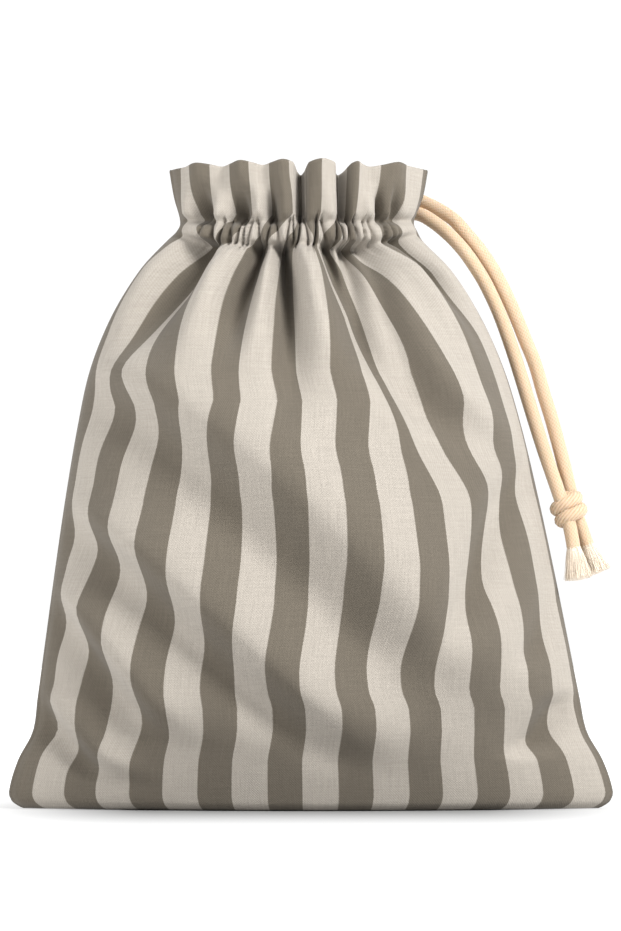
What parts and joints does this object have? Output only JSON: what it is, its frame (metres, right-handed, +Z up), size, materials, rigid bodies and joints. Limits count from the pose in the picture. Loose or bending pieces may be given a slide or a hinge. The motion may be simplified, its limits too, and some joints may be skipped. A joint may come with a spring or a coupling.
{
  "type": "drawstring gift pouch",
  "caption": "Filled cotton gift pouch in broad vertical stripes, its neck gathered by a drawstring under a ruffled heading, the cord's ends knotted together and frayed at the right side.",
  "frame": {"origin": "on the surface the pouch stands on, at the middle of the bag's box seen from above", "axes": "+X to the right across the front, +Y from the front panel to the back panel, +Z up"},
  "size_m": [0.2524, 0.1257, 0.2694],
  "materials": {
    "striped_cotton": "plain woven cotton in taupe and pale greige stripes about 14 mm wide, matt with fine slubs",
    "cotton_cord": "twisted natural cotton cord, matt, soft fibres at the cut ends"
  },
  "bodies": {
    "root": {"front_panel": "striped_cotton", "back_panel": "striped_cotton", "cord_inner": "cotton_cord", "cord_outer": "cotton_cord", "cord_knot": "cotton_cord", "cord_tail_front": "cotton_cord", "cord_tail_side": "cotton_cord"}
  },
  "joints": []
}
